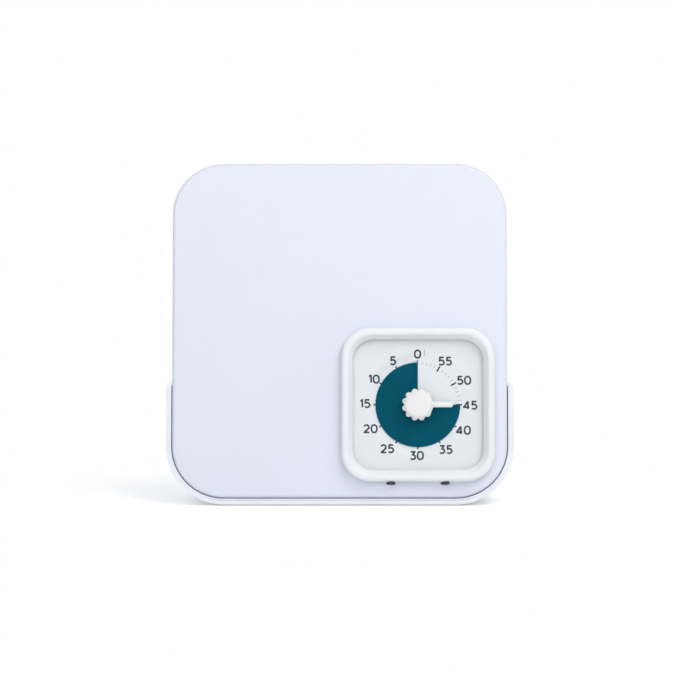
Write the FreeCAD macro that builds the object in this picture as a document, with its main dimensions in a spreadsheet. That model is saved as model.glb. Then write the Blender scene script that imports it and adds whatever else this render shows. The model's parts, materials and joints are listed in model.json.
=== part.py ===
import FreeCAD, Part
import math
import os
import re
import Sketcher

# Visual countdown timer: a square timer docked in a dry-erase board that stands in a bin.
# X is to the viewer's right, Y is away from the viewer and Z is up, in millimetres.
# The origin is the centre of the rubber pad's underside, on the table.

os.makedirs("parts", exist_ok=True)
doc = FreeCAD.newDocument("countdown_timer")
V = FreeCAD.Vector

# Driving dimensions
SIZES = {
    # board
    "lean": 6.0, "board_width": 195.0, "board_height": 195.0, "board_corner": 30.0,
    "panel_depth": 6.4, "panel_skin": 2.0, "panel_rim": 2.2, "panel_edge": 2.0,
    "cover_thick": 2.6, "cover_edge": 0.8, "boss_radius": 3.4, "boss_inset": 15.5,
    "screw_gap": 0.1, "cover_screw_radius": 1.3, "cover_head_radius": 2.6, "cover_head_depth": 1.4,
    # stand
    "stand_depth": 56.0, "stand_height": 69.2, "stand_wall": 3.1, "stand_floor": 2.4,
    "edge_gap": 0.4, "divider_gap": 0.4, "divider_thick": 2.4, "front_setback": 0.4,
    "notch_gap": 1.2,
    "pad_length": 150.0, "pad_width": 38.0, "pad_corner": 6.0, "pad_thick": 1.6,
    "pad_show": 0.8, "pad_fit": 0.2,
    # timer housing
    "dial_inset": 52.1, "dial_up": 54.0, "bezel_size": 89.5, "bezel_corner": 17.0,
    "bezel_proud": 6.0, "bezel_gap": 0.3, "bezel_edge": 2.6, "window_size": 76.0,
    "window_corner": 12.0, "window_flare": 2.2, "window_edge": 0.8, "case_size": 86.0, "case_corner": 15.2,
    "case_wall": 2.4, "case_back": 35.0, "case_edge": 2.0, "dock_gap": 0.5,
    "lens_thick": 1.0, "lens_front": 2.1, "insert_fit": 0.4,
    "pillar_radius": 3.6, "pillar_reach": 34.4, "pillar_joint": 14.0,
    "dial_post_radius": 2.8,
    "case_screw_radius": 1.3, "case_head_radius": 2.7, "case_head_depth": 2.0,
    "foot_radius": 2.4, "foot_show": 1.7, "foot_spread": 15.8, "foot_front": 3.2,
    "foot_rear": 28.0, "foot_round": 0.8, "scallop_gap": 0.5,
    # dial and film disc
    "dial_plane": 1.2, "dial_half": 1.0, "dial_rim": 1.2, "ramp_radius": 25.8,
    "ramp_thick": 0.3, "film_radius": 24.6, "film_thick": 0.15, "film_pitch": 1.2,
    "film_span": 364.0, "film_shown": 270.0, "hub_radius": 4.6, "hub_gap": 0.15,
    "ramp_hole_gap": 0.4, "hub_half": 1.7,
    # knob
    "knob_front": 7.6, "knob_under": 2.6, "knob_face": 7.1, "knob_valley": 8.3,
    "knob_tip": 9.4, "lobe_radius": 1.8, "knob_bevel": 2.2, "knob_bevel_run": 2.6,
    "pointer_tip": 20.8, "pointer_width": 3.4, "pointer_thick": 2.2, "pointer_cut": 0.9,
    "knob_neck": 3.4, "neck_gap": 0.6, "arbor_radius": 2.5, "arbor_head": 5.6,
    "bearing_gap": 0.05,
    # movement and electrics
    "movement_size": 50.0, "movement_corner": 5.0, "movement_front": 3.8,
    "movement_split": 9.8, "movement_rear": 15.8, "post_radius": 2.2, "post_reach": 22.0,
    "circuit_length": 58.0, "circuit_height": 18.0, "circuit_thick": 1.6, "circuit_up": 27.0,
    "standoff": 4.0, "standoff_radius": 2.2, "buzzer_radius": 7.0, "buzzer_gap": 0.4,
    "buzzer_across": 11.0, "slot_length": 9.0, "slot_width": 1.4, "slot_pitch": 3.2,
    "switch_across": 17.0, "switch_length": 10.0, "switch_width": 4.6, "switch_depth": 3.0,
    "nub_length": 4.6, "nub_width": 3.0, "nub_show": 1.2, "nub_travel": 4.0, "nub_gap": 0.3,
    # battery
    "cell_radius": 7.25, "cell_length": 49.2, "nipple_radius": 2.75, "nipple_length": 1.3,
    "bay_length": 57.0, "bay_height": 16.2, "bay_down": 18.0, "bay_front": 18.0,
    "bay_wall": 1.4, "cell_gap": 0.35, "contact_thick": 0.4, "contact_height": 11.0,
    "door_length": 62.0, "door_height": 21.4, "door_corner": 2.5, "door_thick": 1.6,
    "door_gap": 0.3, "grip_depth": 0.7, "grip_length": 14.0,
}
sheet = doc.addObject("Spreadsheet::Sheet", "dims")
for row, (word, size) in enumerate(SIZES.items(), start=1):
    sheet.set("A%d" % row, word)
    sheet.set("B%d" % row, str(size))
    sheet.setAlias("B%d" % row, word)
doc.recompute()


def ex(text):
    """Expression text with each size name pointing at its cell."""
    return re.sub(r"[a-z_]+", lambda m: "dims." + m[0] if m[0] in SIZES else m[0], text)


def num(text):
    """Present value of an expression on the sheet."""
    return float(sheet.evalExpression(ex(text)))


# Shared places, in the board's own frame: y = 0 is the writing face, z = 0 its lower edge
BOARD_BACK = "(panel_depth + cover_thick)"
BOARD_Y = "(-stand_depth / 2 + front_setback)"
BOARD_Z = "(pad_show + stand_floor + edge_gap * cos(lean) + (%s + divider_gap) * sin(lean))" % (
    BOARD_BACK)
TILT = "rotation(vector(1; 0; 0); -lean)"
BOARD_FRAME = "placement(vector(0; %s; %s); %s)" % (BOARD_Y, BOARD_Z, TILT)
DIAL_X = "(board_width / 2 - dial_inset)"
DIAL_FRAME = "placement(vector(%s; %s + dial_up * sin(lean); %s + dial_up * cos(lean)); %s)" % (
    DIAL_X, BOARD_Y, BOARD_Z, TILT)
FLOOR_TOP = "(pad_show + stand_floor)"
BIN_WIDTH = "(board_width + 2 * edge_gap)"
BIN_CORNER = "(board_corner + edge_gap)"
CASE_INSIDE = "(case_size - 2 * case_wall)"
CASE_INSIDE_CORNER = "(case_corner - case_wall)"
INSERT_SIZE = "(%s - 2 * insert_fit)" % CASE_INSIDE
INSERT_CORNER = "(%s - insert_fit)" % CASE_INSIDE_CORNER
LENS_BACK = "(lens_thick - lens_front)"
DIAL_FRONT = "(dial_plane - dial_half)"
DIAL_BACK = "(dial_plane + dial_half)"
CASE_FLOOR = "(case_back - case_wall)"
CIRCUIT_BACK = "(%s - standoff)" % CASE_FLOOR
FOOT_BOTTOM = "(bezel_size / 2 + foot_show)"


def new_body(label, frame=None):
    body = doc.addObject("PartDesign::Body", label)
    body.Label = label
    body.AllowCompound = True
    if frame:
        body.setExpression("Placement", ex(frame))
    return body


def sketch_on(body, name, role, offset="0", frame=None):
    """Sketch on one of the body's own origin planes, moved along the plane's normal."""
    sketch = body.newObject("Sketcher::SketchObject", body.Name + "_" + name)
    plane = [f for f in body.Origin.OriginFeatures if f.Role == role][0]
    sketch.AttachmentSupport = [(plane, "")]
    sketch.MapMode = "FlatFace"
    if frame:
        sketch.setExpression("AttachmentOffset", ex(frame))
    else:
        sketch.setExpression("AttachmentOffset.Base.z", ex(offset))
    return sketch


def front_sketch(body, name, y):
    """Sketch facing the viewer in the plane at depth y; its axes are X and Z."""
    return sketch_on(body, name, "XZ_Plane", "-(%s)" % y)


def bind(sketch, constraint, text):
    index = sketch.addConstraint(constraint)
    sketch.setExpression("Constraints[%d]" % index, ex(text))


def outline(sketch, width, height, radius, x="0", z="0", corners=(1, 1, 1, 1)):
    """Rectangle centred on x and z. corners says which ones are rounded: lower right,
    upper right, upper left, lower left."""
    w, h, r, cx, cz = [num(text) for text in (width, height, radius, x, z)]
    low_right, high_right, high_left, low_left = [r * c for c in corners]
    left, right, low, high = cx - w / 2, cx + w / 2, cz - h / 2, cz + h / 2
    first = sketch.GeometryCount
    runs = [(V(left + low_left, low), V(right - low_right, low)),
            (V(right, low + low_right), V(right, high - high_right)),
            (V(right - high_right, high), V(left + high_left, high)),
            (V(left, high - high_left), V(left, low + low_left))]
    for start, end in runs:
        sketch.addGeometry(Part.LineSegment(start, end), False)
    places = [(right - r, low + r), (right - r, high - r), (left + r, high - r), (left + r, low + r)]
    arcs = []
    for i in range(4):
        after = first + (i + 1) % 4
        if not corners[i]:
            sketch.addConstraint(Sketcher.Constraint("Coincident", first + i, 2, after, 1))
            continue
        start = math.radians(90 * i - 90)
        circle = Part.Circle(V(*places[i]), V(0, 0, 1), r)
        arc = sketch.addGeometry(Part.ArcOfCircle(circle, start, start + math.pi / 2), False)
        sketch.addConstraint(Sketcher.Constraint("Tangent", first + i, 2, arc, 1))
        sketch.addConstraint(Sketcher.Constraint("Tangent", arc, 2, after, 1))
        arcs.append(arc)
    for line, kind in enumerate(("Horizontal", "Vertical", "Horizontal", "Vertical")):
        sketch.addConstraint(Sketcher.Constraint(kind, first + line))
    for arc in arcs[1:]:
        sketch.addConstraint(Sketcher.Constraint("Equal", arcs[0], arc))
    bind(sketch, Sketcher.Constraint("Radius", arcs[0], r), radius)
    bind(sketch, Sketcher.Constraint("DistanceX", first + 3, 2, first + 1, 1, w), width)
    bind(sketch, Sketcher.Constraint("DistanceY", first, 1, first + 2, 1, h), height)
    bind(sketch, Sketcher.Constraint("DistanceX", -1, 1, first + 3, 1, left),
         "%s - (%s) / 2" % (x, width))
    bind(sketch, Sketcher.Constraint("DistanceY", -1, 1, first, 1, low),
         "%s - (%s) / 2" % (z, height))
    return sketch


def box(sketch, width, height, x="0", z="0"):
    """Plain rectangle centred on x and z."""
    w, h, cx, cz = [num(text) for text in (width, height, x, z)]
    left, right, low, high = cx - w / 2, cx + w / 2, cz - h / 2, cz + h / 2
    first = sketch.GeometryCount
    corners = [V(left, low), V(right, low), V(right, high), V(left, high)]
    for i in range(4):
        sketch.addGeometry(Part.LineSegment(corners[i], corners[(i + 1) % 4]), False)
    for i in range(4):
        after = first + (i + 1) % 4
        sketch.addConstraint(Sketcher.Constraint("Coincident", first + i, 2, after, 1))
        kind = "Vertical" if i % 2 else "Horizontal"
        sketch.addConstraint(Sketcher.Constraint(kind, first + i))
    bind(sketch, Sketcher.Constraint("DistanceX", first, 1, first, 2, w), width)
    bind(sketch, Sketcher.Constraint("DistanceY", first + 1, 1, first + 1, 2, h), height)
    bind(sketch, Sketcher.Constraint("DistanceX", -1, 1, first, 1, left),
         "%s - (%s) / 2" % (x, width))
    bind(sketch, Sketcher.Constraint("DistanceY", -1, 1, first, 1, low),
         "%s - (%s) / 2" % (z, height))
    return sketch


def circles(sketch, radius, places=(("0", "0"),)):
    """One circle of the same radius at each place."""
    for x, z in places:
        centre = V(num(x), num(z))
        index = sketch.addGeometry(Part.Circle(centre, V(0, 0, 1), num(radius)), False)
        bind(sketch, Sketcher.Constraint("Radius", index, num(radius)), radius)
        bind(sketch, Sketcher.Constraint("DistanceX", -1, 1, index, 3, centre.x), x)
        bind(sketch, Sketcher.Constraint("DistanceY", -1, 1, index, 3, centre.y), z)
    return sketch


def pad(sketch, length):
    """Solid from the sketch's plane along its normal, which is towards the viewer."""
    body = sketch.getParentGeoFeatureGroup()
    feature = body.newObject("PartDesign::Pad", sketch.Name + "_pad")
    feature.Profile = sketch
    feature.setExpression("Length", ex(length))
    doc.recompute()
    return feature


def pocket(sketch, length, forward=False):
    """Cut from the sketch's plane away from the viewer, or towards it when forward."""
    body = sketch.getParentGeoFeatureGroup()
    before = body.Tip.Shape.Volume
    feature = body.newObject("PartDesign::Pocket", sketch.Name + "_pocket")
    feature.Profile = sketch
    feature.setExpression("Length", ex(length))
    feature.Reversed = forward
    doc.recompute()
    if feature.Shape.Volume >= before - 0.01:
        raise RuntimeError("nothing was cut by " + feature.Name)
    return feature


def soften(body, kind, size, keep):
    """Fillet or chamfer on the edges of the body's last feature that keep() picks."""
    base = body.Tip
    names = ["Edge%d" % (i + 1) for i, edge in enumerate(base.Shape.Edges) if keep(edge.BoundBox)]
    if not names:
        raise RuntimeError("no edge found on " + body.Name)
    feature = body.newObject("PartDesign::" + kind, "%s_%s" % (base.Name, kind.lower()))
    feature.Base = (base, names)
    feature.setExpression("Radius" if kind == "Fillet" else "Size", ex(size))
    doc.recompute()
    return feature


def at_depth(text):
    """Picks edges that lie flat in the plane y = text."""
    y = num(text)
    return lambda b: abs(b.YMin - y) < 1e-4 and abs(b.YMax - y) < 1e-4


def plate(label, frame, width, height, radius, back, thick, x="0", z="0"):
    """Body that starts as a rounded plate ending at depth back."""
    body = new_body(label, frame)
    pad(outline(front_sketch(body, "outline", back), width, height, radius, x, z), thick)
    return body


def four(reach, up=None):
    """The four corner places of a square or rectangle about the origin."""
    up = up or reach
    return [(sx + reach, sz + up) for sx in ("", "-") for sz in ("", "-")]


# Stand: a bin with a round-cornered front outline. The board sits in a recess behind a thin
# front rim, and a divider that leans with it parts it from the pen bin and its back wall
stand = new_body("stand_shell")
OUTER_WIDTH = "(%s + 2 * stand_wall)" % BIN_WIDTH
OUTER_CORNER = "(%s + stand_wall)" % BIN_CORNER
DIVIDER_BACK = "(%s + divider_gap + divider_thick)" % BOARD_BACK


def cup(sketch, width, low, high, radius, across="0", corners=(1, 0, 0, 1)):
    """Outline that is square above and has round corners below, from low to high."""
    return outline(sketch, width, "%s - %s" % (high, low), radius, across,
                   "(%s + %s) / 2" % (high, low), corners)


def leaning(body, name, y):
    """Sketch in a plane that is parallel to the board's face, at depth y behind it."""
    return sketch_on(body, name, "XZ_Plane", frame=(
        "placement(vector(0; {z} - {y} * sin(lean); -({f}) - {y} * cos(lean)); {tilt})".format(
            z=BOARD_Z, f=BOARD_Y, y="(%s)" % y, tilt=TILT)))


pad(cup(front_sketch(stand, "walls", "stand_depth / 2"), OUTER_WIDTH, "pad_show",
        "stand_height", OUTER_CORNER), "stand_depth")
pocket(cup(front_sketch(stand, "bin", "-stand_depth / 2"), BIN_WIDTH, FLOOR_TOP,
           "(stand_height + 1)", BIN_CORNER), "stand_depth - stand_wall")
pad(cup(leaning(stand, "divider", DIVIDER_BACK), "%s + stand_wall" % BIN_WIDTH,
        "(-stand_floor / 2)", "stand_height", "%s + stand_wall / 2" % BIN_CORNER),
    DIVIDER_BACK)
pocket(cup(leaning(stand, "recess", "0"), BIN_WIDTH, "(-edge_gap)", "(stand_height + 1)",
           BIN_CORNER), "%s + divider_gap" % BOARD_BACK)
# The divider ends short of the timer, which needs the whole depth beside it
BAY_LEFT = "(%s - case_size / 2 - notch_gap)" % DIAL_X
pocket(cup(leaning(stand, "timer_bay", "%s + divider_gap" % BOARD_BACK),
           "%s / 2 - %s" % (BIN_WIDTH, BAY_LEFT), "(-edge_gap)", "(stand_height + 1)", BIN_CORNER,
           "(%s / 2 + %s) / 2" % (BIN_WIDTH, BAY_LEFT), corners=(1, 0, 0, 0)), "divider_thick")
# The front rim is cut off flush with the writing face, and the divider with the walls' tops
pocket(box(leaning(stand, "front_cut", "0"), "2 * board_width", "2 * board_height"),
       "stand_depth / 4", forward=True)
pocket(box(sketch_on(stand, "top_cut", "XY_Plane", "stand_height"), "2 * board_width",
           "2 * stand_depth"), "stand_height", forward=True)
seat = sketch_on(stand, "pad_seat", "XY_Plane", "pad_show")
outline(seat, "pad_length + 2 * pad_fit", "pad_width + 2 * pad_fit", "pad_corner + pad_fit")
pocket(seat, "pad_thick - pad_show", forward=True)

base_pad = new_body("base_pad")
pad(outline(sketch_on(base_pad, "outline", "XY_Plane"), "pad_length", "pad_width", "pad_corner"),
    "pad_thick")

# Board: a shallow moulded tray behind the writing face, closed by a back cover
MID = "board_height / 2"
DOCK = "(case_size + 2 * dock_gap)"
DOCK_CORNER = "(case_corner + dock_gap)"
panel = plate("board_panel", BOARD_FRAME, "board_width", "board_height", "board_corner",
              "panel_depth", "panel_depth", z=MID)
soften(panel, "Fillet", "panel_edge", at_depth("0"))
tray = front_sketch(panel, "tray", "panel_skin")
outline(tray, "board_width - 2 * panel_rim", "board_height - 2 * panel_rim",
        "board_corner - panel_rim", z=MID)
outline(tray, DOCK + " + 2 * panel_rim", DOCK + " + 2 * panel_rim", DOCK_CORNER + " + panel_rim",
        DIAL_X, "dial_up")
pocket(tray, "panel_depth")
BOSSES = [("-board_width / 2 + boss_inset", "boss_inset"),
          ("-board_width / 2 + boss_inset", MID),
          ("-board_width / 2 + boss_inset", "board_height - boss_inset"),
          ("board_width / 2 - boss_inset", "board_height - boss_inset"),
          ("%s - %s / 2 - boss_inset" % (DIAL_X, DOCK), "boss_inset")]
pad(circles(front_sketch(panel, "bosses", "panel_depth"), "boss_radius", BOSSES),
    "panel_depth - panel_skin / 2")
pocket(circles(front_sketch(panel, "pilots", "panel_skin"), "cover_screw_radius", BOSSES),
       "panel_depth")
dock = front_sketch(panel, "dock", "-1")
outline(dock, DOCK, DOCK, DOCK_CORNER, DIAL_X, "dial_up")
pocket(dock, "panel_depth + 2")


def scallops(body, y, depth):
    """Two round-bottomed notches below the dock that let the rear feet pass."""
    sketch = front_sketch(body, "scallops", y)
    low = "(%s + scallop_gap)" % FOOT_BOTTOM
    high = "(%s / 2 - dock_gap)" % DOCK
    for side in ("+", "-"):
        outline(sketch, "2 * (foot_radius + scallop_gap)", "%s - %s" % (low, high), "foot_round",
                "%s %s foot_spread" % (DIAL_X, side), "dial_up - (%s + %s) / 2" % (low, high),
                corners=(1, 0, 0, 1))
    pocket(sketch, depth)


scallops(panel, "-1", "panel_depth + 2")

cover = plate("board_back", BOARD_FRAME, "board_width", "board_height", "board_corner",
              BOARD_BACK, "cover_thick", z=MID)
soften(cover, "Chamfer", "cover_edge", at_depth(BOARD_BACK))
dock = front_sketch(cover, "dock", "panel_depth - 1")
outline(dock, DOCK, DOCK, DOCK_CORNER, DIAL_X, "dial_up")
pocket(dock, "cover_thick + 2")
scallops(cover, "panel_depth - 1", "cover_thick + 2")
pocket(circles(front_sketch(cover, "holes", "panel_depth - 1"), "cover_screw_radius + screw_gap",
               BOSSES), "cover_thick + 2")
pocket(circles(front_sketch(cover, "head_seats", BOARD_BACK + " - cover_head_depth"),
               "cover_head_radius + screw_gap", BOSSES), "cover_thick")

cover_screws = new_body("cover_screws", BOARD_FRAME)
pad(circles(front_sketch(cover_screws, "shanks", BOARD_BACK + " - cover_head_depth"),
            "cover_screw_radius", BOSSES), "cover_thick - cover_head_depth + panel_depth / 2")
pad(circles(front_sketch(cover_screws, "heads", BOARD_BACK), "cover_head_radius", BOSSES),
    "cover_head_depth")

# Timer bezel: a soft square frame that stands proud of the board
bezel = plate("timer_bezel", DIAL_FRAME, "bezel_size", "bezel_size", "bezel_corner",
              "-bezel_gap", "bezel_proud - bezel_gap")
soften(bezel, "Fillet", "bezel_edge", at_depth("-bezel_proud"))
# Its window narrows from the soft front edge to the lens
wide, narrow = [outline(front_sketch(bezel, name, y), size, size, corner) for name, y, size, corner in (
    ("window_front", "-bezel_proud", "window_size + 2 * window_flare",
     "window_corner + window_flare"),
    ("window_lens", "-bezel_gap", "window_size", "window_corner"))]
flare = bezel.newObject("PartDesign::SubtractiveLoft", "bezel_window")
flare.Profile = wide
flare.Sections = [narrow]
flare.Ruled = True
doc.recompute()
span = num("window_size / 2 + window_flare") + 0.01
soften(bezel, "Chamfer", "window_edge",
       lambda b: at_depth("-bezel_proud")(b) and max(abs(b.XMin), abs(b.XMax)) < span)
insert = front_sketch(bezel, "insert_seat", "-lens_front")
outline(insert, CASE_INSIDE, CASE_INSIDE, CASE_INSIDE_CORNER)
pocket(insert, "lens_front")

lens = plate("timer_lens", DIAL_FRAME, INSERT_SIZE, INSERT_SIZE, INSERT_CORNER,
             LENS_BACK, "lens_thick")
pocket(circles(front_sketch(lens, "neck_hole", "-lens_front - 1"), "knob_neck + neck_gap"),
       "lens_thick + 2")

# Rear case: a deep tub with corner pillars and a battery bay that opens at the back
case = plate("rear_case", DIAL_FRAME, "case_size", "case_size", "case_corner",
             "case_back", "case_back + bezel_gap")
soften(case, "Chamfer", "case_edge", at_depth("case_back"))
tub = front_sketch(case, "tub", "-bezel_gap")
outline(tub, CASE_INSIDE, CASE_INSIDE, CASE_INSIDE_CORNER)
pocket(tub, CASE_FLOOR + " + bezel_gap")
pad(circles(front_sketch(case, "pillars", "case_back - case_wall / 2"), "pillar_radius",
            four("pillar_reach")), "case_back - case_wall / 2 - pillar_joint")
pad(box(front_sketch(case, "bay_walls", "case_back - case_wall / 2"), "bay_length + 2 * bay_wall",
        "bay_height + 2 * bay_wall", "0", "-bay_down"),
    "case_back - case_wall / 2 - bay_front + bay_wall")
pad(circles(front_sketch(case, "standoffs", "case_back - case_wall / 2"), "standoff_radius",
            [("circuit_length / 2 - 4", "circuit_up"), ("-circuit_length / 2 + 4", "circuit_up")]),
    "standoff + case_wall / 2")
pocket(box(front_sketch(case, "bay", "bay_front"), "bay_length", "bay_height", "0", "-bay_down"),
       "case_back")
rebate = front_sketch(case, "door_rebate", "case_back - door_thick")
outline(rebate, "door_length + 2 * door_gap", "door_height + 2 * door_gap", "door_corner",
        "0", "-bay_down")
pocket(rebate, "case_back")
pocket(circles(front_sketch(case, "screw_holes", "pillar_joint - 1"),
               "case_screw_radius + screw_gap", four("pillar_reach")), "case_back")
pocket(circles(front_sketch(case, "head_seats", "case_back - case_head_depth"),
               "case_head_radius + screw_gap", four("pillar_reach")), "case_back")
slot = front_sketch(case, "switch_slot", CASE_FLOOR + " - 1")
box(slot, "nub_length + nub_travel + 2 * nub_gap", "nub_width + 2 * nub_gap",
    "-switch_across + nub_travel / 2", "circuit_up")
pocket(slot, "case_back")
grille = front_sketch(case, "sound_slots", CASE_FLOOR + " - 1")
for row in (-1, 0, 1):
    box(grille, "slot_length", "slot_width", "buzzer_across", "circuit_up + %d * slot_pitch" % row)
pocket(grille, "case_back")

case_screws = new_body("case_screws", DIAL_FRAME)
pad(circles(front_sketch(case_screws, "shanks", "case_back - case_head_depth"),
            "case_screw_radius", four("pillar_reach")),
    "case_back - case_head_depth - pillar_joint / 2")
pad(circles(front_sketch(case_screws, "heads", "case_back - case_edge / 4"),
            "case_head_radius", four("pillar_reach")), "case_head_depth - case_edge / 4")

# Feet: two under the bezel and two under the rear of the case
feet = new_body("timer_feet", DIAL_FRAME)
FRONT_FEET = [("foot_spread", "-foot_front"), ("-foot_spread", "-foot_front")]
REAR_FEET = [("foot_spread", "foot_rear"), ("-foot_spread", "foot_rear")]
under = "-%s" % FOOT_BOTTOM
pad(circles(sketch_on(feet, "front", "XY_Plane", under), "foot_radius", FRONT_FEET), "foot_show")
pad(circles(sketch_on(feet, "rear", "XY_Plane", under), "foot_radius", REAR_FEET),
    "%s - case_size / 2" % FOOT_BOTTOM)
low = num(under)
soften(feet, "Chamfer", "foot_round", lambda b: abs(b.ZMax - low) < 1e-4)

# Dial plate: a flat printed surround, a rim that holds the lens and corner posts
surround = plate("dial_surround", None, INSERT_SIZE, INSERT_SIZE, INSERT_CORNER,
                 DIAL_BACK, "%s - %s" % (DIAL_BACK, LENS_BACK))
well = front_sketch(surround, "well", LENS_BACK + " - 1")
outline(well, INSERT_SIZE + " - 2 * dial_rim", INSERT_SIZE + " - 2 * dial_rim",
        INSERT_CORNER + " - dial_rim")
pocket(well, "%s - %s + 1" % (DIAL_FRONT, LENS_BACK))
pocket(circles(front_sketch(surround, "ramp_hole", DIAL_FRONT + " - 1"), "ramp_radius"),
       "2 * dial_half + 2")
pad(circles(front_sketch(surround, "posts", "pillar_joint"), "dial_post_radius",
            four("pillar_reach")), "pillar_joint - dial_plane")
pocket(circles(front_sketch(surround, "pilots", "pillar_joint / 2"), "case_screw_radius",
               four("pillar_reach")), "pillar_joint")


FACET_ANGLE = 10.0


def helicoid(inner, outer, thick, start, end, rise):
    """Ramp about the Y axis from angle start to end, anticlockwise from twelve o'clock.

    Its middle stands at rise(angle) towards the viewer, and all of it has one lead. It is
    made of flat facets, one for each few degrees."""
    steps = math.ceil(abs(end - start) / FACET_ANGLE)
    rows = []
    for i in range(steps + 1):
        angle = start + (end - start) * i / steps
        side, up = -math.sin(math.radians(angle)), math.cos(math.radians(angle))
        front = -rise(angle) - thick / 2
        rows.append([V(radius * side, y, radius * up) for radius in (inner, outer)
                     for y in (front, front + thick)])
    faces = [facet(row[0], row[1], row[3], row[2]) for row in (rows[0], rows[-1])]
    for here, there in zip(rows, rows[1:]):
        for low, high in ((0, 2), (1, 3)):
            faces.append(facet(here[low], here[high], there[high]))
            faces.append(facet(here[low], there[high], there[low]))
        for low, high in ((0, 1), (2, 3)):
            faces.append(facet(here[low], here[high], there[high], there[low]))
    solid = Part.Solid(Part.Shell(faces))
    return solid if solid.Volume > 0 else solid.reversed()


def facet(*corners):
    return Part.Face(Part.makePolygon(list(corners) + [corners[0]]))


# The ramp climbs one film lead in a full turn, and the step it leaves at twelve o'clock
# is the slit that the film passes through
lead = num("film_pitch")
plane = num("dial_plane")
ramp = doc.addObject("Part::Feature", "dial_ramp")
ramp.Shape = helicoid(num("hub_radius + ramp_hole_gap"), num("ramp_radius") + 0.4,
                      num("ramp_thick"), 0.0, 360.0,
                      lambda a: lead * (a / 360.0 - 0.5) - plane)
dial = doc.addObject("Part::MultiFuse", "dial_plate")
dial.Shapes = [surround, ramp]
dial.Label = "dial_plate"
dial.setExpression("Placement", ex(DIAL_FRAME))

film = doc.addObject("Part::Feature", "countdown_disc")
film.Label = "countdown_disc"
film.Shape = helicoid(num("hub_radius + hub_gap"), num("film_radius"), num("film_thick"),
                      num("film_shown - film_span"), num("film_shown"),
                      lambda a: lead * a / 360.0 - plane)
film.setExpression("Placement", ex(DIAL_FRAME))

# Knob: ten round lobes on a thirty degree pitch, and a pointer where two are left out
knob = new_body("knob", DIAL_FRAME)
pad(circles(front_sketch(knob, "core", "-knob_under"), "knob_valley"), "knob_front - knob_under")
lobe_way = "(knob_tip - lobe_radius) * cos(45)"
lobe = pad(circles(front_sketch(knob, "lobe", "-knob_under"), "lobe_radius",
                   [(lobe_way, lobe_way)]), "knob_front - knob_under")
lobes = knob.newObject("PartDesign::PolarPattern", "knob_lobes")
lobes.Originals = [lobe]
lobes.Axis = ([f for f in knob.Origin.OriginFeatures if f.Role == "Y_Axis"][0], [""])
lobes.Angle = 270
lobes.Occurrences = 10
lobes.Reversed = True
knob.Tip = lobes
doc.recompute()
# The front of the lobes falls away in a cone to the plain round face
cone = sketch_on(knob, "bevel", "YZ_Plane")
y1, y2 = num("-knob_front"), num("-knob_front + knob_bevel")
r1, r2 = num("knob_face"), num("knob_face + knob_bevel_run")
for start, end in ((V(y1, r1), V(y2, r2)), (V(y2, r2), V(y1, r2)), (V(y1, r2), V(y1, r1))):
    cone.addGeometry(Part.LineSegment(start, end), False)
for i in range(3):
    cone.addConstraint(Sketcher.Constraint("Coincident", i, 2, (i + 1) % 3, 1))
cone.addConstraint(Sketcher.Constraint("Horizontal", 1))
cone.addConstraint(Sketcher.Constraint("Vertical", 2))
bind(cone, Sketcher.Constraint("DistanceX", -1, 1, 2, 2, y1), "-knob_front")
bind(cone, Sketcher.Constraint("DistanceX", 2, 1, 0, 2, y2 - y1), "knob_bevel")
bind(cone, Sketcher.Constraint("DistanceY", -1, 1, 2, 2, r1), "knob_face")
bind(cone, Sketcher.Constraint("DistanceY", 2, 2, 2, 1, r2 - r1), "knob_bevel_run")
before = knob.Tip.Shape.Volume
bevel = knob.newObject("PartDesign::Groove", "knob_bevel_cut")
bevel.Profile = cone
bevel.ReferenceAxis = (cone, ["H_Axis"])
bevel.Angle = 360
doc.recompute()
if bevel.Shape.Volume >= before:
    raise RuntimeError("the knob's bevel cut nothing")
arm = front_sketch(knob, "pointer", "-knob_under")
half, tip, cut = num("pointer_width / 2"), num("pointer_tip"), num("pointer_cut")
corners = [V(0, -half), V(tip - cut, -half), V(tip, -half + cut), V(tip, half), V(0, half)]
for i in range(5):
    arm.addGeometry(Part.LineSegment(corners[i], corners[(i + 1) % 5]), False)
for i in range(5):
    arm.addConstraint(Sketcher.Constraint("Coincident", i, 2, (i + 1) % 5, 1))
for i, kind in ((0, "Horizontal"), (2, "Vertical"), (3, "Horizontal"), (4, "Vertical")):
    arm.addConstraint(Sketcher.Constraint(kind, i))
arm.addConstraint(Sketcher.Constraint("PointOnObject", 0, 1, -2))
bind(arm, Sketcher.Constraint("DistanceY", -1, 1, 0, 1, -half), "-pointer_width / 2")
bind(arm, Sketcher.Constraint("DistanceY", 4, 2, 4, 1, 2 * half), "pointer_width")
bind(arm, Sketcher.Constraint("DistanceX", 3, 2, 3, 1, tip), "pointer_tip")
bind(arm, Sketcher.Constraint("DistanceX", 1, 1, 1, 2, cut), "pointer_cut")
bind(arm, Sketcher.Constraint("DistanceY", 1, 1, 1, 2, cut), "pointer_cut")
pad(arm, "pointer_thick")
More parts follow.
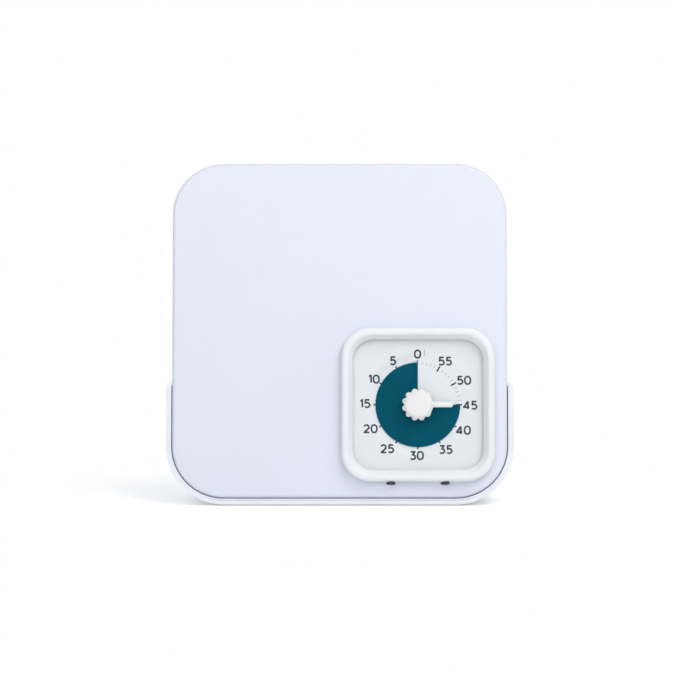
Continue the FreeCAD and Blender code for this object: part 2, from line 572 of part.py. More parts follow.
# Straight flanks run from the two lobes beside the pointer to its root
flank = front_sketch(knob, "flanks", "-knob_under")
reach, root = num("knob_tip * cos(45)"), num("pointer_tip / 2")
corners = [V(0, -reach), V(reach, -reach), V(root, -half), V(root, half), V(reach, reach),
           V(0, reach)]
for i in range(6):
    flank.addGeometry(Part.LineSegment(corners[i], corners[(i + 1) % 6]), False)
for i in range(6):
    flank.addConstraint(Sketcher.Constraint("Coincident", i, 2, (i + 1) % 6, 1))
for i, kind in ((0, "Horizontal"), (2, "Vertical"), (4, "Horizontal"), (5, "Vertical")):
    flank.addConstraint(Sketcher.Constraint(kind, i))
flank.addConstraint(Sketcher.Constraint("PointOnObject", 0, 1, -2))
bind(flank, Sketcher.Constraint("DistanceX", 0, 1, 0, 2, reach), "knob_tip * cos(45)")
bind(flank, Sketcher.Constraint("DistanceX", 4, 2, 4, 1, reach), "knob_tip * cos(45)")
bind(flank, Sketcher.Constraint("DistanceY", -1, 1, 0, 1, -reach), "-knob_tip * cos(45)")
bind(flank, Sketcher.Constraint("DistanceY", 5, 2, 5, 1, 2 * reach), "2 * knob_tip * cos(45)")
bind(flank, Sketcher.Constraint("DistanceX", -1, 1, 2, 1, root), "pointer_tip / 2")
bind(flank, Sketcher.Constraint("DistanceY", -1, 1, 2, 1, -half), "-pointer_width / 2")
bind(flank, Sketcher.Constraint("DistanceY", 2, 1, 2, 2, 2 * half), "pointer_width")
pad(flank, "pointer_thick")
pad(circles(front_sketch(knob, "neck", "dial_plane - hub_half"), "knob_neck"),
    "knob_under + dial_plane - hub_half + knob_bevel / 2")
pocket(circles(front_sketch(knob, "arbor_hole", "-arbor_head"), "arbor_radius"),
       "knob_front + dial_plane")

hub = new_body("disc_hub", DIAL_FRAME)
pad(circles(front_sketch(hub, "hub", "dial_plane + hub_half"), "hub_radius"), "2 * hub_half")
pocket(circles(front_sketch(hub, "hole", "-knob_under"), "arbor_radius"),
       "knob_under + dial_plane + 2 * hub_half")

arbor = new_body("knob_arbor", DIAL_FRAME)
pad(circles(front_sketch(arbor, "arbor", "movement_rear - 1.5"), "arbor_radius"),
    "movement_rear - 1.5 + arbor_head")

# Movement: two moulded halves that carry the arbor, hung from the dial plate by posts
front_half = plate("movement_front", DIAL_FRAME, "movement_size", "movement_size",
                   "movement_corner", "movement_split", "movement_split - movement_front")
pad(circles(front_sketch(front_half, "posts", "movement_front"), "post_radius",
            four("post_reach")), "movement_front - %s" % DIAL_BACK)
pocket(circles(front_sketch(front_half, "bearing", "0"), "arbor_radius + bearing_gap"),
       "movement_rear")
rear_half = plate("movement_rear", DIAL_FRAME, "movement_size", "movement_size",
                  "movement_corner", "movement_rear", "movement_rear - movement_split")
soften(rear_half, "Chamfer", "movement_corner / 5", at_depth("movement_rear"))
pocket(circles(front_sketch(rear_half, "bearing", "movement_split - 1"),
               "arbor_radius + bearing_gap"), "movement_rear - movement_split")

# Circuit board on two standoffs, with the buzzer and the switch on its rear face
circuit = new_body("circuit_board", DIAL_FRAME)
pad(box(front_sketch(circuit, "board", CIRCUIT_BACK), "circuit_length", "circuit_height",
        "0", "circuit_up"), "circuit_thick")
buzzer = new_body("buzzer", DIAL_FRAME)
pad(circles(front_sketch(buzzer, "can", CASE_FLOOR + " - buzzer_gap"), "buzzer_radius",
            [("buzzer_across", "circuit_up")]), "standoff - buzzer_gap")
switch = new_body("switch_body", DIAL_FRAME)
pad(box(front_sketch(switch, "body", CIRCUIT_BACK + " + switch_depth"), "switch_length",
        "switch_width", "-switch_across + nub_travel / 2", "circuit_up"), "switch_depth")
nub = new_body("alert_switch", DIAL_FRAME)
pad(box(front_sketch(nub, "nub", "case_back + nub_show"), "nub_length", "nub_width",
        "-switch_across", "circuit_up"),
    "case_back + nub_show - %s - switch_depth - nub_gap" % CIRCUIT_BACK)
soften(nub, "Chamfer", "nub_show / 3", at_depth("case_back + nub_show"))

# Battery: one cell on its side in the bay, between a spring contact and a plate contact
CELL_Y = "(bay_front + cell_radius + cell_gap)"
FREE = "(bay_length - cell_length - nipple_length - 2 * contact_thick)"
cell = new_body("battery_cell", DIAL_FRAME)
pad(circles(sketch_on(cell, "can", "YZ_Plane", "-bay_length / 2 + contact_thick + %s" % FREE),
            "cell_radius", [(CELL_Y, "-bay_down")]), "cell_length")
pad(circles(sketch_on(cell, "nipple", "YZ_Plane",
                      "bay_length / 2 - contact_thick - nipple_length"),
            "nipple_radius", [(CELL_Y, "-bay_down")]), "nipple_length")
plus = new_body("plate_contact", DIAL_FRAME)
pad(box(sketch_on(plus, "tab", "YZ_Plane", "bay_length / 2 - contact_thick"),
        "contact_height", "contact_height", CELL_Y, "-bay_down"), "contact_thick")
minus = new_body("spring_contact", DIAL_FRAME)
pad(box(sketch_on(minus, "tab", "YZ_Plane", "-bay_length / 2"),
        "contact_height", "contact_height", CELL_Y, "-bay_down"), "contact_thick")
pad(circles(sketch_on(minus, "coil", "YZ_Plane", "-bay_length / 2 + contact_thick"),
            "nipple_radius", [(CELL_Y, "-bay_down")]), FREE)

door = plate("battery_door", DIAL_FRAME, "door_length", "door_height", "door_corner - door_gap",
             "case_back", "door_thick - door_gap", "0", "-bay_down")
grip = front_sketch(door, "grip", "case_back - grip_depth")
outline(grip, "grip_length", "grip_length / 3", "grip_length / 6 - 0.01", "0",
        "-bay_down + door_height / 4")
pocket(grip, "case_back")

doc.recompute()

PARTS = [stand, base_pad, panel, cover, cover_screws, bezel, lens, case, case_screws, feet, dial,
         film, knob, hub, arbor, front_half, rear_half, circuit, buzzer, switch, nub, cell, plus,
         minus, door]
for item in doc.Objects:
    if {"Invalid", "Error"} & set(item.State):
        raise RuntimeError("%s failed: %s" % (item.Name, item.State))
for part in PARTS:
    if part.Shape.isNull() or not part.Shape.isValid() or not part.Shape.Solids:
        raise RuntimeError("%s has no valid solid" % part.Label)
for part in PARTS:
    part.Shape.exportStep("parts/%s.step" % part.Label)
    print(part.Label, len(part.Shape.Solids), round(part.Shape.Volume, 1))
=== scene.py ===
"""Visual countdown timer docked in a dry-erase board, and the low stand that holds them."""

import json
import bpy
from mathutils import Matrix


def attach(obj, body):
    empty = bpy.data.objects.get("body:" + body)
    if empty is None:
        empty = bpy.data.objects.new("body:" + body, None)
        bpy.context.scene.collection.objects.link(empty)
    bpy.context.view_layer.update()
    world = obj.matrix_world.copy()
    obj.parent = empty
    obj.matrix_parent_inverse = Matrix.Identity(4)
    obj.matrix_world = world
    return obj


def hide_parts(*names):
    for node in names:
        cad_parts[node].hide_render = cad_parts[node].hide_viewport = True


bl_info = {
    "name": "Countdown Timer Board",
    "version": (1, 0, 0),
    "blender": (4, 5, 0),
    "location": "3D View > Sidebar > Timer",
    "description": "Builds the board, its stand, the timer and its dial, and a studio stage",
    "category": "Object",
}

from math import atan2, ceil, copysign, cos, degrees, hypot, inf, pi, radians, sin, sqrt, tau

import bmesh
import bpy
from bpy.props import FloatProperty, FloatVectorProperty, PointerProperty
from bpy.types import Operator, Panel, PropertyGroup
from mathutils import Matrix, Vector

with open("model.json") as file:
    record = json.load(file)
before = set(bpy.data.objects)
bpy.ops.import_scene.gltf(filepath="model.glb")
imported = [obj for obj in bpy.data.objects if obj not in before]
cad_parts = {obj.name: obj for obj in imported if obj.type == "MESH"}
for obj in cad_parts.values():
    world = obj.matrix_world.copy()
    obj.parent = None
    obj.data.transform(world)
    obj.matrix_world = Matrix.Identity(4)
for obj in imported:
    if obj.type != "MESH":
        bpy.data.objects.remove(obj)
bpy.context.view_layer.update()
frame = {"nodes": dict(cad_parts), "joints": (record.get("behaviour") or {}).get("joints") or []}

MM = 0.001
# The dial's own frame in millimetres: x to the right, y away from the viewer, z up the face
KNOB_JOINT = next(joint for joint in frame["joints"] if joint["name"] == "knob_turn")
BACKWARD = -Vector(KNOB_JOINT["axis"])
RIGHT = Vector((1, 0, 0))
TURN = Matrix((RIGHT, BACKWARD, RIGHT.cross(BACKWARD))).transposed().to_4x4()
DIAL = Matrix.Translation(KNOB_JOINT["pos_m"]) @ TURN @ Matrix.Scale(MM, 4)
# The same for the board, from the middle of its lower edge
BOARD = DIAL @ Matrix.Translation((-45.4, 0, -54))


def tint(red, green, blue):
    """Scene colour of a screen colour given in 0 to 255."""
    def channel(value):
        value /= 255
        return value / 12.92 if value <= 0.04045 else ((value + 0.055) / 1.055) ** 2.4
    return channel(red), channel(green), channel(blue)


def colour(name, description, red, green, blue):
    return FloatVectorProperty(name=name, description=description, subtype="COLOR", size=3,
                               min=0, max=1, default=tint(red, green, blue))


def number(name, description, default, **more):
    return FloatProperty(name=name, description=description, default=default, **more)


def length(name, description, default):
    """A size whose default is given in millimetres; Blender keeps it in metres."""
    return number(name, description, default * MM, min=0, unit="LENGTH")


def power(name, description, default):
    return number(name, description, default, min=0, unit="POWER")


class BoardLook(PropertyGroup):
    face: colour("Face", "Colour of the glossy writing face", 222, 227, 239)
    cover: colour("Cover", "Colour of the moulded back cover", 222, 226, 236)
    stand: colour("Stand", "Colour of the moulded stand", 231, 234, 242)
    pad: colour("Pad", "Colour of the rubber pad under the stand", 92, 94, 98)
    edge: length("Edge", "Softness of the moulded edges", 0.5)
    gloss: number("Roughness", "Roughness of the writing face", 0.36, min=0, max=1,
                  subtype="FACTOR")


class TimerLook(PropertyGroup):
    shell: colour("Shell", "Colour of the timer's moulded shell", 232, 237, 240)
    feet: colour("Feet", "Colour of the small rubber feet", 66, 69, 74)
    knob: colour("Knob", "Colour of the knob", 233, 233, 233)
    edge: length("Edge", "Softness of the moulded edges", 0.35)


class DialLook(PropertyGroup):
    paper: colour("Paper", "Colour of the printed dial", 232, 237, 242)
    ink: colour("Ink", "Colour of the numbers and long ticks", 52, 55, 61)
    faint: colour("Faint ink", "Colour of the minute ticks", 168, 172, 182)
    film: colour("Film", "Colour of the disc that shows the time left", 0, 84, 105)
    number_height: length("Number height", "Height of a number", 5.35)
    stroke: length("Stroke", "Width of a number's stroke", 1.0)
    tick_inside: length("Tick inside", "Radius where a long tick starts", 22.2)
    tick_outside: length("Tick outside", "Radius where a long tick ends", 25.8)


class StageLook(PropertyGroup):
    floor: colour("Floor", "Colour of the floor", 236, 237, 239)
    distance: number("Distance", "From the camera to the board", 1.2, min=0.2, unit="LENGTH")
    height: number("Look height", "Height of the picture's centre", 0.0970, unit="LENGTH")
    elevation: number("Elevation", "Angle of the view above level", radians(3),
                      subtype="ANGLE")
    lens: number("Lens", "Focal length for a 36 mm sensor", 110, min=10)
    key: power("Top light", "Power of the light above", 11)
    front: power("Front light", "Power of the light in front", 22.5)
    back: power("Back light", "Power of the light behind", 18)
    sky: number("Sky", "Strength of the light from all round", 0.36, min=0)


class Wire:
    """An output of a shader node that takes part in plain arithmetic."""

    def __init__(self, finish, socket):
        self.finish = finish
        self.socket = socket

    def __add__(self, other):
        return self.finish.maths("ADD", self, other)

    def __radd__(self, other):
        return self.finish.maths("ADD", other, self)

    def __sub__(self, other):
        return self.finish.maths("SUBTRACT", self, other)

    def __rsub__(self, other):
        return self.finish.maths("SUBTRACT", other, self)

    def __mul__(self, other):
        return self.finish.maths("MULTIPLY", self, other)

    def __rmul__(self, other):
        return self.finish.maths("MULTIPLY", other, self)


class Finish:
    """The shader nodes of a material or a world in the making."""

    def __init__(self, name, library="materials"):
        self.holder = getattr(bpy.data, library).new(name)
        self.holder.use_nodes = True
        self.tree = self.holder.node_tree
        self.tree.nodes.clear()

    def node(self, kind, settings=None, sockets=None, out=0):
        """Makes a node and gives back the wire from its output called out, if it has one."""
        made = self.tree.nodes.new(kind)
        for word, value in (settings or {}).items():
            setattr(made, word, value)
        for word, value in (sockets or {}).items():
            if isinstance(value, Wire):
                self.tree.links.new(value.socket, made.inputs[word])
            else:
                made.inputs[word].default_value = value
        return Wire(self, made.outputs[out]) if len(made.outputs) else None

    def maths(self, operation, *terms):
        return self.node("ShaderNodeMath", {"operation": operation}, dict(enumerate(terms)))

    def place(self):
        """Where a point lies on the piece, in metres."""
        return self.node("ShaderNodeTexCoord", out="Object")

    def noise(self, size, detail=3.0, stretch=None):
        """Soft cloud of values from 0 to 1, whose patches are about size metres across."""
        where = self.place()
        if stretch:
            where = self.node("ShaderNodeVectorMath", {"operation": "MULTIPLY"},
                              {0: where, 1: stretch})
        return self.node("ShaderNodeTexNoise", {}, {
            "Vector": where, "Scale": 1 / size, "Detail": detail, "Roughness": 0.55}, "Fac")

    def clamp(self, value, low, high, new_low=0.0, new_high=1.0):
        """Value carried over from one span to another and held inside it."""
        return self.node("ShaderNodeMapRange", {"clamp": True}, {
            "Value": value, "From Min": low, "From Max": high,
            "To Min": new_low, "To Max": new_high}, "Result")

    def spread(self, cloud, new_low, new_high):
        """Noise, which mostly lies between 0.3 and 0.7, carried over to another span."""
        return self.clamp(cloud, 0.3, 0.7, new_low, new_high)

    def mix(self, share, first, second):
        """Colour between first and second."""
        return self.node("ShaderNodeMix", {"data_type": "RGBA"},
                         {0: share, 6: (*first, 1), 7: (*second, 1)}, 2)

    def toned(self, cloud, rgb, darker, lighter, low=0.3, high=0.7):
        """Colour that noise makes darker and lighter by these factors."""
        return self.mix(self.clamp(cloud, low, high), shade(rgb, darker), shade(rgb, lighter))

    def bump(self, height, distance, strength):
        """Normal of a surface whose height of 0 to 1 stands for distance metres."""
        return self.node("ShaderNodeBump", {}, {
            "Height": height, "Distance": distance, "Strength": strength}, "Normal")

    def rays(self, *kinds):
        """1 for rays of these kinds, such as Camera, and 0 for all others."""
        outputs = self.node("ShaderNodeLightPath").socket.node.outputs
        found, *others = [Wire(self, outputs[f"Is {kind} Ray"]) for kind in kinds]
        for other in others:
            found = self.maths("MAXIMUM", found, other)
        return found

    def close(self, shader, output="ShaderNodeOutputMaterial"):
        """Ends the nodes with a shader and gives the finished material or world back."""
        self.node(output, {}, {"Surface": shader})
        return self.holder

    def surface(self, **sockets):
        """Closes the material with one principled surface."""
        words = {word.replace("_", " ").title().replace("Ior", "IOR"): value
                 for word, value in sockets.items()}
        return self.close(self.node("ShaderNodeBsdfPrincipled", {}, words))


def shade(rgb, factor):
    return tuple(min(1.0, value * factor) for value in rgb)


def moulded(name, rgb, roughness=0.42, grain=0.00035, depth=0.000012):
    """Moulded plastic: a fine spark-eroded grain, and slight changes of tone and gloss."""
    f = Finish(name)
    cloud = f.noise(0.03)
    fine = f.noise(grain, 2.0)
    rough = f.spread(fine * 0.5 + cloud * 0.5, roughness - 0.05, roughness + 0.06)
    return f.surface(base_color=f.toned(cloud, rgb, 0.985, 1.01), roughness=rough,
                     normal=f.bump(fine, depth, 0.6))


def writing_face(name, rgb, roughness):
    """Dry-erase face: glossy enamel with faint sideways wipe marks."""
    f = Finish(name)
    wipes = f.noise(0.03, 3.0, (0.5, 1, 1.3))
    cloud = f.noise(0.06)
    ripple = f.noise(0.0012, 2.0)
    return f.surface(base_color=f.toned(cloud, rgb, 0.992, 1.006),
                     roughness=f.spread(wipes, roughness - 0.03, roughness + 0.04),
                     normal=f.bump(ripple, 0.000006, 0.25))


def rubber(name, rgb):
    """Matt rubber with a dusty bloom and fine pores."""
    f = Finish(name)
    bloom = f.noise(0.004, 4.0)
    pores = f.noise(0.0003, 2.0)
    return f.surface(base_color=f.toned(bloom, rgb, 1, 1.35, 0.35, 0.75),
                     roughness=f.spread(bloom, 0.7, 0.85), normal=f.bump(pores, 0.00003, 0.8))


def printed_paper(name, rgb):
    """Dial sheet: matt coated card with a soft fibre."""
    f = Finish(name)
    fibre = f.noise(0.0006, 4.0)
    cloud = f.noise(0.02)
    return f.surface(base_color=f.toned(cloud, rgb, 0.985, 1.01),
                     roughness=f.spread(fibre, 0.5, 0.6), normal=f.bump(fibre, 0.000006, 0.5))


def ink(name, rgb):
    """Screen-printed ink, slightly uneven in its cover."""
    f = Finish(name)
    speck = f.noise(0.00025)
    return f.surface(base_color=f.toned(speck, rgb, 1, 1.25, 0.35, 0.7),
                     roughness=f.spread(speck, 0.42, 0.55))


def tinted_film(name, rgb):
    """Thin coloured film: an even tone with a faint drawn grain and a satin face."""
    f = Finish(name)
    drawn = f.noise(0.0008, 3.0, (0.3, 1, 1))
    cloud = f.noise(0.012)
    return f.surface(base_color=f.toned(cloud, rgb, 0.93, 1.06),
                     roughness=f.spread(drawn, 0.5, 0.62), specular_ior_level=0.0,
                     normal=f.bump(drawn, 0.000005, 0.4))


def clear_plastic(name):
    """Polished clear lens, nearly invisible head on, with faint wiping haze."""
    f = Finish(name)
    haze = f.noise(0.012)
    return f.surface(base_color=(0.05, 0.055, 0.055, 1), roughness=f.spread(haze, 0.04, 0.09),
                     alpha=0.02, ior=1.49)


def steel(name, rgb):
    """Turned or rolled steel with fine drawn lines."""
    f = Finish(name)
    lines = f.noise(0.0002, 3.0, (1, 1, 0.15))
    return f.surface(base_color=f.toned(lines, rgb, 0.85, 1.08), metallic=1.0,
                     roughness=f.spread(lines, 0.26, 0.42), normal=f.bump(lines, 0.000006, 0.5))


def laminate(name, rgb):
    """Green circuit laminate: copper lands that show through the solder resist."""
    f = Finish(name)
    lands = f.noise(0.003, 1.0)
    weave = f.noise(0.0005, 2.0)
    return f.surface(base_color=f.toned(lands, rgb, 1, 1.5, 0.5, 0.54),
                     roughness=f.spread(weave, 0.24, 0.36), normal=f.bump(lands, 0.00003, 0.5))


def cell_wrap(name):
    """Plain shrunk sleeve of a dry cell: dark, with a copper-coloured band at the plus end."""
    band_start, band_edge = 0.0562, 0.0002
    f = Finish(name)
    x = f.node("ShaderNodeSeparateXYZ", {}, {"Vector": f.place()}, "X")
    scuff = f.noise(0.0015)
    wavy = x + (scuff - 0.5) * 0.0002
    base = f.mix(f.clamp(wavy, band_start, band_start + band_edge), tint(44, 46, 50),
                 tint(196, 124, 74))
    return f.surface(base_color=base, roughness=f.spread(scuff, 0.28, 0.4),
                     normal=f.bump(scuff, 0.00001, 0.5))


# Points this near, in metres, are one. Faces that turn by less than the first angle count as
# flat, and edges that turn by less than the second stay smooth, both in degrees
WELD = 2e-6
FLAT_ANGLE = 0.6
SOFT_ANGLE = 32


def weld(mesh, flatten=False, open_sheet=False):
    """Joins double points, and if asked flat faces too, and turns the faces outwards.

    An open sheet is turned to face the user, so that its thickness lies behind it.
    """
    work = bmesh.new()
    work.from_mesh(mesh)
    bmesh.ops.remove_doubles(work, verts=work.verts, dist=WELD)
    if flatten:
        bmesh.ops.dissolve_limit(work, angle_limit=radians(FLAT_ANGLE), verts=work.verts,
                                 edges=work.edges)
    bmesh.ops.recalc_face_normals(work, faces=work.faces)
    facing = sum((face.normal * face.calc_area() for face in work.faces), Vector())
    if open_sheet and facing.dot(BACKWARD) > 0:
        bmesh.ops.reverse_faces(work, faces=work.faces)
    work.to_mesh(mesh)
    work.free()


def add(name, data):
    """New object in the scene."""
    made = bpy.data.objects.new(name, data)
    bpy.context.scene.collection.objects.link(made)
    return made


def show(name, mesh, material, body, crease, replaces):
    """Piece with a mesh, smooth up to the angle crease, that rides on a body of the CAD model."""
    mesh.materials.clear()
    mesh.materials.append(material)
    mesh.shade_smooth()
    mesh.set_sharp_from_angle(angle=radians(crease))
    made = add(name, mesh)
    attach(made, body)
    if replaces:
        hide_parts(*replaces)
    return made


def softened(node, name, material, body, edge):
    """Copy of a moulded CAD piece whose sharp edges are rounded as a mould rounds them."""
    mesh = frame["nodes"][node].data.copy()
    mesh.name = name
    weld(mesh, flatten=True)
    made = show(name, mesh, material, body, SOFT_ANGLE, [node])
    bevel = made.modifiers.new("soft edges", "BEVEL")
    bevel.width = edge * MM
    bevel.segments = 3
    bevel.limit_method = "ANGLE"
    bevel.angle_limit = radians(SOFT_ANGLE)
    bevel.harden_normals = True
    return made


def thicken(piece, thickness, offset):
    """Gives a sheet its thickness in millimetres, behind it at -1 and half each way at 0."""
    solid = piece.modifiers.new("thickness", "SOLIDIFY")
    solid.thickness = thickness * MM
    solid.offset = offset


def dress(node, material):
    """Gives a carried-over CAD node its finish."""
    mesh = frame["nodes"][node].data
    mesh.materials.clear()
    mesh.materials.append(material)


BOTH_ENDS = (0, -1)


class Form:
    """A mesh in the making: rings of points and the skins between them."""

    def __init__(self):
        self.points = []
        self.faces = []

    def ring(self, points):
        start = len(self.points)
        self.points.extend(points)
        return list(range(start, len(self.points)))

    def skin(self, rings, closed=True, caps=()):
        """Quads between each ring of points and the next, and a face over the rings in caps."""
        rings = [self.ring(points) if not isinstance(points[0], int) else points
                 for points in rings]
        for low, high in zip(rings, rings[1:]):
            count = len(low) if closed else len(low) - 1
            for i in range(count):
                j = (i + 1) % len(low)
                self.faces.append((low[i], low[j], high[j], high[i]))
        self.faces += [tuple(rings[i]) for i in caps]
        return rings

    def build(self, name, material, body, slot, place=DIAL, crease=35, replaces=(),
              open_sheet=False):
        mesh = bpy.data.meshes.new(name)
        mesh.from_pydata([place @ Vector(point) for point in self.points], [], self.faces)
        weld(mesh, open_sheet=open_sheet)
        return show(name, mesh, material, body, crease, replaces)


def rounded(half, radius, y, steps=14):
    """Ring of a rounded square, half wide either way, at depth y."""
    points = []
    for sx, sz, start in ((1, -1, -90), (1, 1, 0), (-1, 1, 90), (-1, -1, 180)):
        for i in range(steps + 1):
            turn = radians(start + 90 * i / steps)
            points.append((sx * (half - radius) + radius * cos(turn), y,
                           sz * (half - radius) + radius * sin(turn)))
    return points


def circle(centre, radius, plane="xz", count=48):
    """Ring of points about a centre, in one of the planes xz, yz and xy."""
    first, second = ["xyz".index(letter) for letter in plane]
    points = []
    for i in range(count):
        point = list(centre)
        point[first] += radius * cos(tau * i / count)
        point[second] += radius * sin(tau * i / count)
        points.append(tuple(point))
    return points


def soft_block(form, foot, size, soft):
    """Block with a chamfered rim that stands on the point foot and grows towards the back."""
    (x, y, z), (wide, deep, tall) = foot, size
    rings = []
    for inset, depth in ((0, 0.0), (0, deep - soft), (soft, deep)):
        w, t = wide / 2 - inset, tall / 2 - inset
        c = min(soft, 0.2 * min(wide, tall))
        rings.append([(x + a, y + depth, z + b) for a, b in (
            (w - c, -t), (w, c - t), (w, t - c), (w - c, t),
            (c - w, t), (-w, t - c), (-w, c - t), (c - w, -t))])
    form.skin(rings, caps=BOTH_ENDS)


def strip(form, path, wide, thick):
    """Bent strip of metal along a path whose points share one x."""
    form.skin([[(x - wide / 2, y, z), (x + wide / 2, y, z),
                (x + wide / 2, y - thick, z), (x - wide / 2, y - thick, z)]
               for x, y, z in path], caps=BOTH_ENDS)


def arc_steps(start, end, steps, bend):
    """Points from start to end that bow towards the corner bend."""
    return [tuple((1 - t) ** 2 * a + 2 * t * (1 - t) * b + t * t * c
                  for a, b, c in zip(start, bend, end))
            for t in [i / steps for i in range(steps + 1)]]


# Notches for the feet in the board's opening: their middle either side of the dial, the box
# round their points, the edge that they go down from, and the shares of their size that stay
NOTCH_MIDDLE = 15.8
NOTCH_REACH = 3.3
NOTCH_LOWEST, NOTCH_HIGHEST = -48, -43.2
OPENING_EDGE = -44.9
WIDTH_LEFT = 0.86
DEPTH_LEFT = 0.72


def fit_foot_notches(mesh):
    """Draws the notches that the timer's feet pass through closer to the feet."""
    to_dial = DIAL.inverted()
    for vertex in mesh.vertices:
        x, y, z = to_dial @ vertex.co
        middle = copysign(NOTCH_MIDDLE, x)
        if abs(x - middle) < NOTCH_REACH and NOTCH_LOWEST < z < NOTCH_HIGHEST:
            x = middle + (x - middle) * WIDTH_LEFT
            z = max(z, OPENING_EDGE + (z - OPENING_EDGE) * DEPTH_LEFT)
            vertex.co = DIAL @ Vector((x, y, z))


class BuildBoard(Operator):
    """Build the dry-erase board and its back cover"""
    bl_idname = "timer_board.board"
    bl_label = "Board"

    def execute(self, context):
        look = context.scene.board_look
        enamel = writing_face("enamel_face", look.face, look.gloss)
        cover = moulded("cover_plastic", look.cover, roughness=0.5, grain=0.0006, depth=0.00003)
        edge = look.edge / MM
        board = softened("board_panel", "writing_board", enamel, "board", edge)
        back = softened("board_back", "board_cover", cover, "board", edge)
        fit_foot_notches(board.data)
        fit_foot_notches(back.data)
        return {"FINISHED"}


class BuildStand(Operator):
    """Build the moulded stand with its pen wells, and the rubber pad under it"""
    bl_idname = "timer_board.stand"
    bl_label = "Stand"

    def execute(self, context):
        look = context.scene.board_look
        softened("stand_shell", "pen_stand", moulded("stand_plastic", look.stand), "stand",
                 edge=0.25)
        softened("base_pad", "rubber_base", rubber("pad_rubber", look.pad), "stand",
                 edge=0.4)
        return {"FINISHED"}


# Section of the bezel as half width, corner radius and depth: from its outside at the back,
# over the brow and the lip, down the wall and round the lens's seat
BEZEL_SECTION = [
    (44.55, 16.8, -0.3), (44.75, 17.0, -0.5), (44.75, 17.0, -3.2),
    *arc_steps((44.75, 17.0, -3.0), (42.6, 14.9, -6.0), 8, (44.75, 17.0, -5.7))[1:],
    *arc_steps((41.7, 15.0, -6.0), (39.9, 13.9, -5.0), 6, (40.6, 14.4, -6.0)),
    (38.1, 12.4, -2.6), (37.95, 12.3, -2.45), (37.95, 12.3, -2.3), (38.4, 12.6, -2.12),
    (40.6, 12.8, -2.1), (40.6, 12.8, -0.3),
]


class BuildBezel(Operator):
    """Build the soft square bezel and the clear lens behind it"""
    bl_idname = "timer_board.bezel"
    bl_label = "Bezel and lens"

    def execute(self, context):
        shell = moulded("bezel_plastic", context.scene.timer_look.shell, roughness=0.38)
        bezel = Form()
        joined = bezel.skin([rounded(*spot) for spot in BEZEL_SECTION])
        bezel.skin([joined[-1], joined[0]])
        bezel.build("soft_bezel", shell, "timer", "timer_white", crease=50,
                    replaces=["timer_bezel"])
        dress("timer_lens", clear_plastic("lens_plastic"))
        return {"FINISHED"}


class BuildCase(Operator):
    """Build the rear case, the battery door and the alert switch"""
    bl_idname = "timer_board.case"
    bl_label = "Rear case"

    def execute(self, context):
        look = context.scene.timer_look
        shell = moulded("case_plastic", look.shell, roughness=0.46, grain=0.0005, depth=0.00002)
        dark = moulded("switch_plastic", tint(38, 40, 44))
        softened("rear_case", "moulded_case", shell, "timer", look.edge / MM)
        softened("battery_door", "battery_lid", shell, "door", edge=0.25)
        softened("alert_switch", "switch_nub", dark, "alert", edge=0.25)
        return {"FINISHED"}


# Rubber feet: radius, how far the round end bulges down, and the height where it starts
FOOT_RADIUS = 2.25
FOOT_BULGE = 1.6
FOOT_START = -44.4
# Their places from left to right, and each row's depth and top
FOOT_SIDES = (-15.6, 16.0)
FOOT_ROWS = ((-3.2, -44.75), (28.0, -43.0))


class BuildFeet(Operator):
    """Build the four small rubber feet under the timer"""
    bl_idname = "timer_board.feet"
    bl_label = "Feet"

    def execute(self, context):
        soft = rubber("foot_rubber", context.scene.timer_look.feet)
        bulge = [(FOOT_RADIUS * cos(radians(7.5 * i)),
                  FOOT_START - FOOT_BULGE * sin(radians(7.5 * i))) for i in range(12)]
        feet = Form()
        for side in FOOT_SIDES:
            for depth, top in FOOT_ROWS:
                feet.skin([circle((side, depth, z), radius, "xy", 40)
                           for radius, z in [(FOOT_RADIUS, top)] + bulge], caps=BOTH_ENDS)
        feet.build("rubber_feet", soft, "timer", "dark_rubber", replaces=["timer_feet"])
        return {"FINISHED"}


# Half length and half width of a screw's cross recess, as shares of the head's radius
RECESS_REACH = 0.62
RECESS_HALF = 0.13
COVER_SCREWS = ((-82.0, 15.5), (-82.0, 97.5), (-82.0, 179.5), (82.0, 179.5), (-13.6, 15.5))
CASE_SCREWS = ((-34.4, -34.4), (-34.4, 34.4), (34.4, -34.4), (34.4, 34.4))


def cross_screws(form, places, head, shank, top, depth, tip):
    """Pan-head screws at (x, z) places, with a cross recess that is seen from behind.

    head and shank are radii, top and tip are where the screw ends, and depth is the head's.
    """
    arm, half = head * RECESS_REACH, head * RECESS_HALF
    corner = degrees(atan2(half, arm))
    angles = sorted({round((90 * quarter + side * step) % 360, 4) for quarter in range(4)
                     for side in (-1, 1) for step in (0, corner, 12, 22, 32, 45)})
    turns = [radians(angle) for angle in angles]
    cross = []
    for angle in angles:
        fold = abs((angle + 45) % 90 - 45)
        slope = radians(fold)
        cross.append(arm / cos(slope) if fold <= corner + 0.01 else half / sin(slope))
    taper = tip - shank if tip > top else tip + shank
    outside = [(0.1, tip), (shank, taper), (shank, top - depth), (head, top - depth)]
    outside += arc_steps((head, top - depth * 0.45), (head * 0.75, top), 5,
                         (head * 0.97, top - 0.03))
    recess = [(1.0, top), (0.92, top - depth * 0.1), (0.6, top - depth * 0.62),
              (0.05, top - depth * 0.75)]
    levels = [([radius] * len(turns), y) for radius, y in outside]
    levels += [([reach * share for reach in cross], y) for share, y in recess]
    for x, z in places:
        form.skin([[(x + radius * cos(turn), y, z + radius * sin(turn))
                    for turn, radius in zip(turns, radii)] for radii, y in levels])


